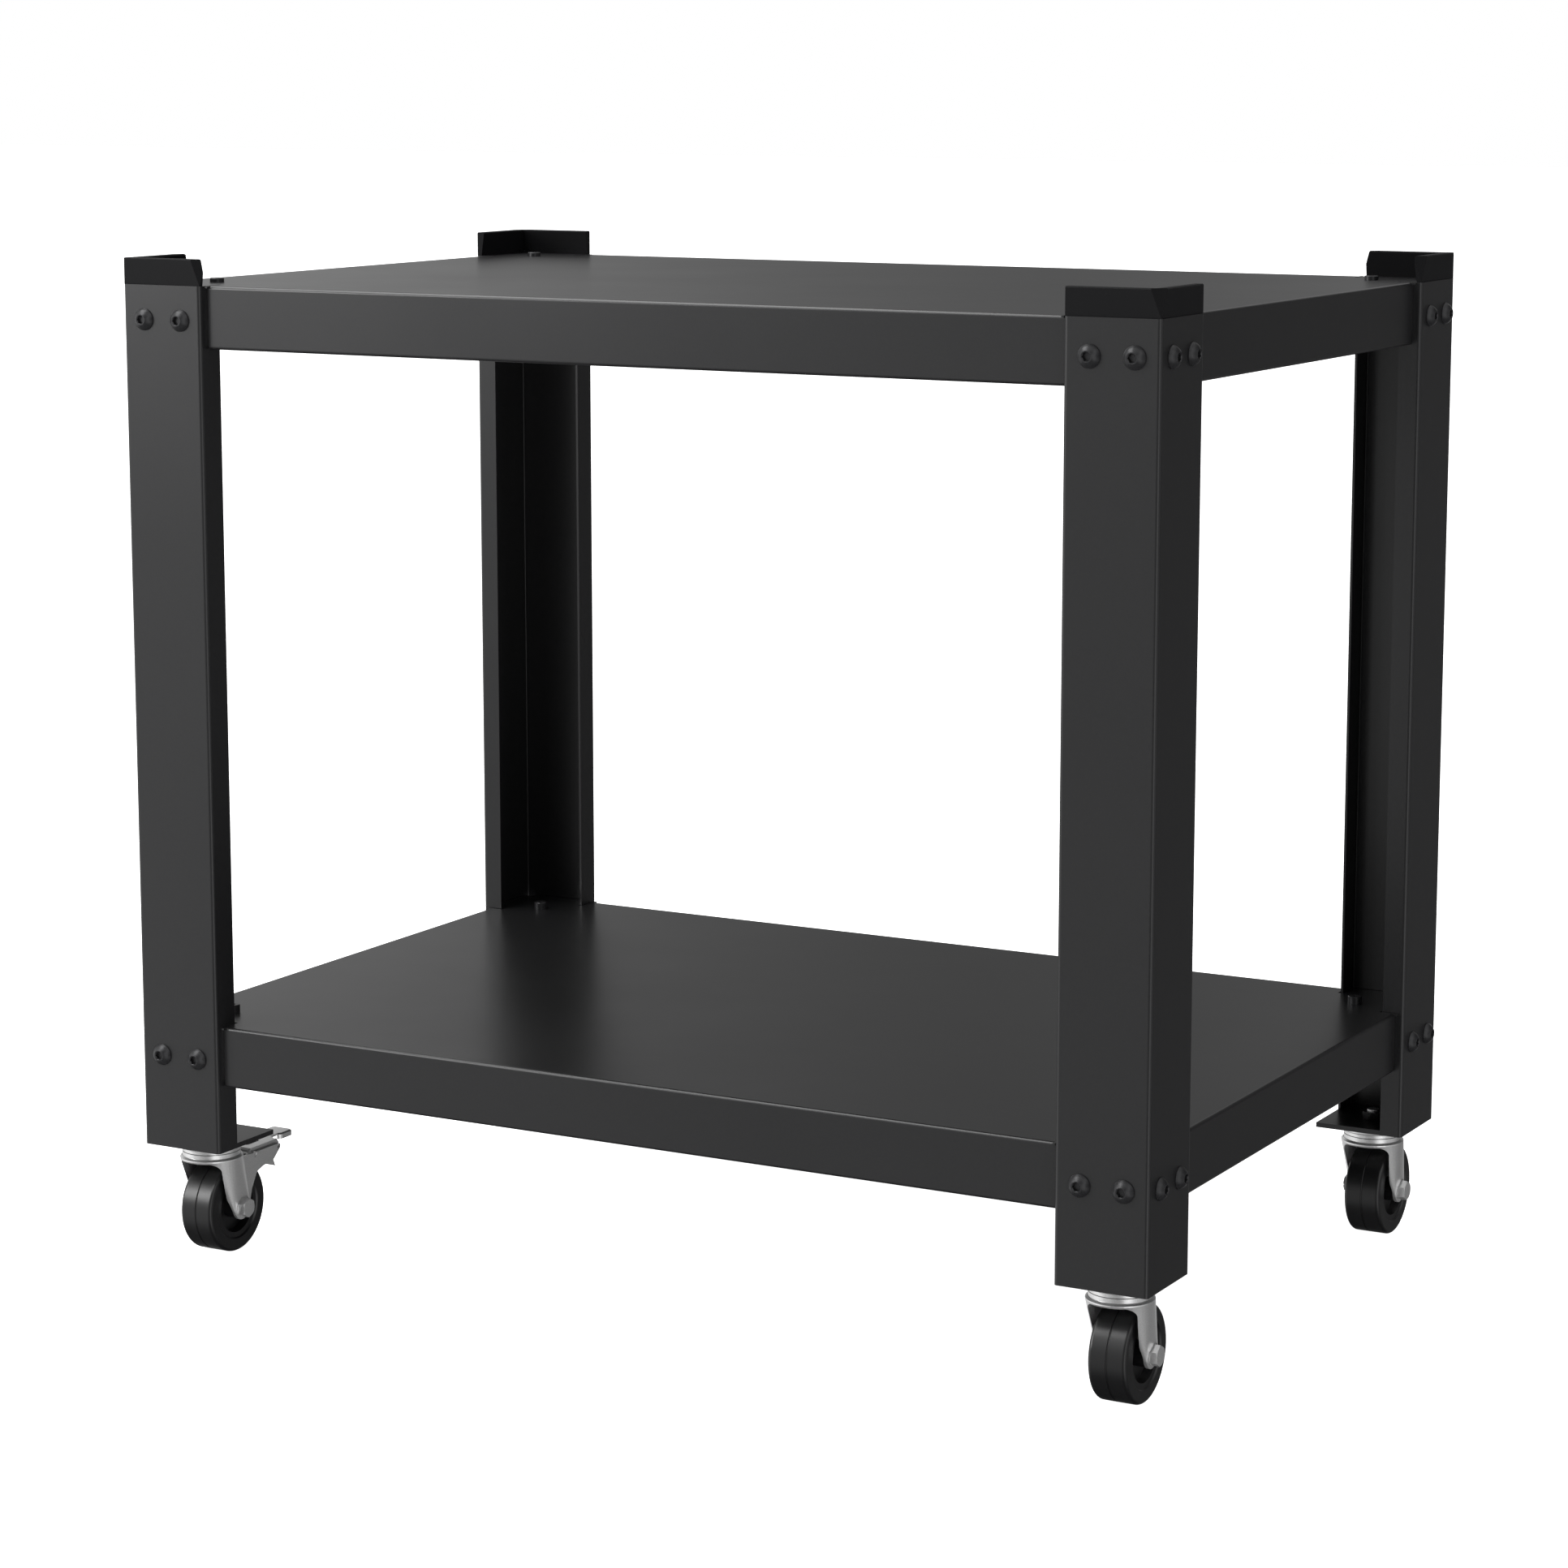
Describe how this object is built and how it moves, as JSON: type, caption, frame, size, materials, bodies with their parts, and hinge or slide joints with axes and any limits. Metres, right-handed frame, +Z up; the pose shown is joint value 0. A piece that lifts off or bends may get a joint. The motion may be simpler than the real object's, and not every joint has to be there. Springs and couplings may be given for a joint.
{
  "type": "pizza oven stand",
  "caption": "Wheeled two-shelf stand in folded steel for a tabletop pizza oven, with lipped angle legs, bolted pan shelves, corner cups and braked swivel casters.",
  "frame": {"origin": "on the floor, under the middle of the whole object's box, which reaches to the tip of the rear brake pedal", "axes": "+X to the right along the long side, +Y to the back, +Z up"},
  "size_m": [0.911, 0.658, 0.823],
  "materials": {
    "powder_coat": "satin graphite powder coat",
    "moulded_plastic": "satin",
    "black_oxide": "black oxide",
    "zinc_plate": "bright zinc plate",
    "wheel_tread": "satin"
  },
  "bodies": {
    "stand": {"front_left_leg": "powder_coat", "front_right_leg": "powder_coat", "rear_left_leg": "powder_coat", "rear_right_leg": "powder_coat", "top_shelf": "powder_coat", "lower_shelf": "powder_coat", "front_left_cup": "moulded_plastic", "front_right_cup": "moulded_plastic", "rear_left_cup": "moulded_plastic", "rear_right_cup": "moulded_plastic", "front_left_foot_plate": "powder_coat", "front_right_foot_plate": "powder_coat", "rear_left_foot_plate": "powder_coat", "rear_right_foot_plate": "powder_coat", "top_shelf_bolts": "black_oxide", "lower_shelf_bolts": "black_oxide", "top_shelf_nuts": "black_oxide", "lower_shelf_nuts": "black_oxide", "top_shelf_angles": "powder_coat", "lower_shelf_angles": "powder_coat", "top_shelf_screws": "black_oxide", "lower_shelf_screws": "black_oxide", "screw_nuts": "black_oxide", "stem_nuts": "black_oxide", "front_left_caster_stem": "zinc_plate", "front_right_caster_stem": "zinc_plate", "rear_left_caster_stem": "zinc_plate", "rear_right_caster_stem": "zinc_plate"},
    "front_left_swivel": {"front_left_fork": "zinc_plate", "front_left_swivel_balls": "zinc_plate", "front_left_axle_bolt": "zinc_plate", "front_left_axle_nut": "zinc_plate", "front_left_axle_sleeve": "zinc_plate", "front_left_brake_pin": "zinc_plate"},
    "front_left_wheel_body": {"front_left_wheel": "wheel_tread"},
    "front_left_brake": {"front_left_brake_pedal": "zinc_plate"},
    "front_right_swivel": {"front_right_fork": "zinc_plate", "front_right_swivel_balls": "zinc_plate", "front_right_axle_bolt": "zinc_plate", "front_right_axle_nut": "zinc_plate", "front_right_axle_sleeve": "zinc_plate"},
    "front_right_wheel_body": {"front_right_wheel": "wheel_tread"},
    "rear_left_swivel": {"rear_left_fork": "zinc_plate", "rear_left_swivel_balls": "zinc_plate", "rear_left_axle_bolt": "zinc_plate", "rear_left_axle_nut": "zinc_plate", "rear_left_axle_sleeve": "zinc_plate", "rear_left_brake_pin": "zinc_plate"},
    "rear_left_wheel_body": {"rear_left_wheel": "wheel_tread"},
    "rear_left_brake": {"rear_left_brake_pedal": "zinc_plate"},
    "rear_right_swivel": {"rear_right_fork": "zinc_plate", "rear_right_swivel_balls": "zinc_plate", "rear_right_axle_bolt": "zinc_plate", "rear_right_axle_nut": "zinc_plate", "rear_right_axle_sleeve": "zinc_plate"},
    "rear_right_wheel_body": {"rear_right_wheel": "wheel_tread"}
  },
  "joints": [
    {"name": "front_left_swivel_turn", "type": "hinge", "parent": "stand", "child": "front_left_swivel", "pos_m": [-0.4115, -0.285, 0.085], "axis": [0, 0, 1], "continuous": true},
    {"name": "front_left_wheel_spin", "type": "hinge", "parent": "front_left_swivel", "child": "front_left_wheel_body", "pos_m": [-0.4115, -0.271, 0.038], "axis": [1, 0, 0], "continuous": true},
    {"name": "front_left_brake_press", "type": "hinge", "parent": "front_left_swivel", "child": "front_left_brake", "pos_m": [-0.4115, -0.252, 0.0785], "axis": [-1, 0, 0], "range_deg": [0, 17]},
    {"name": "front_right_swivel_turn", "type": "hinge", "parent": "stand", "child": "front_right_swivel", "pos_m": [0.4115, -0.285, 0.085], "axis": [0, 0, 1], "continuous": true},
    {"name": "front_right_wheel_spin", "type": "hinge", "parent": "front_right_swivel", "child": "front_right_wheel_body", "pos_m": [0.4115, -0.271, 0.038], "axis": [1, 0, 0], "continuous": true},
    {"name": "rear_left_swivel_turn", "type": "hinge", "parent": "stand", "child": "rear_left_swivel", "pos_m": [-0.4115, 0.228, 0.085], "axis": [0, 0, 1], "continuous": true},
    {"name": "rear_left_wheel_spin", "type": "hinge", "parent": "rear_left_swivel", "child": "rear_left_wheel_body", "pos_m": [-0.4115, 0.242, 0.038], "axis": [1, 0, 0], "continuous": true},
    {"name": "rear_left_brake_press", "type": "hinge", "parent": "rear_left_swivel", "child": "rear_left_brake", "pos_m": [-0.4115, 0.261, 0.0785], "axis": [-1, 0, 0], "range_deg": [0, 17]},
    {"name": "rear_right_swivel_turn", "type": "hinge", "parent": "stand", "child": "rear_right_swivel", "pos_m": [0.4115, 0.228, 0.085], "axis": [0, 0, 1], "continuous": true},
    {"name": "rear_right_wheel_spin", "type": "hinge", "parent": "rear_right_swivel", "child": "rear_right_wheel_body", "pos_m": [0.4115, 0.242, 0.038], "axis": [1, 0, 0], "continuous": true}
  ]
}
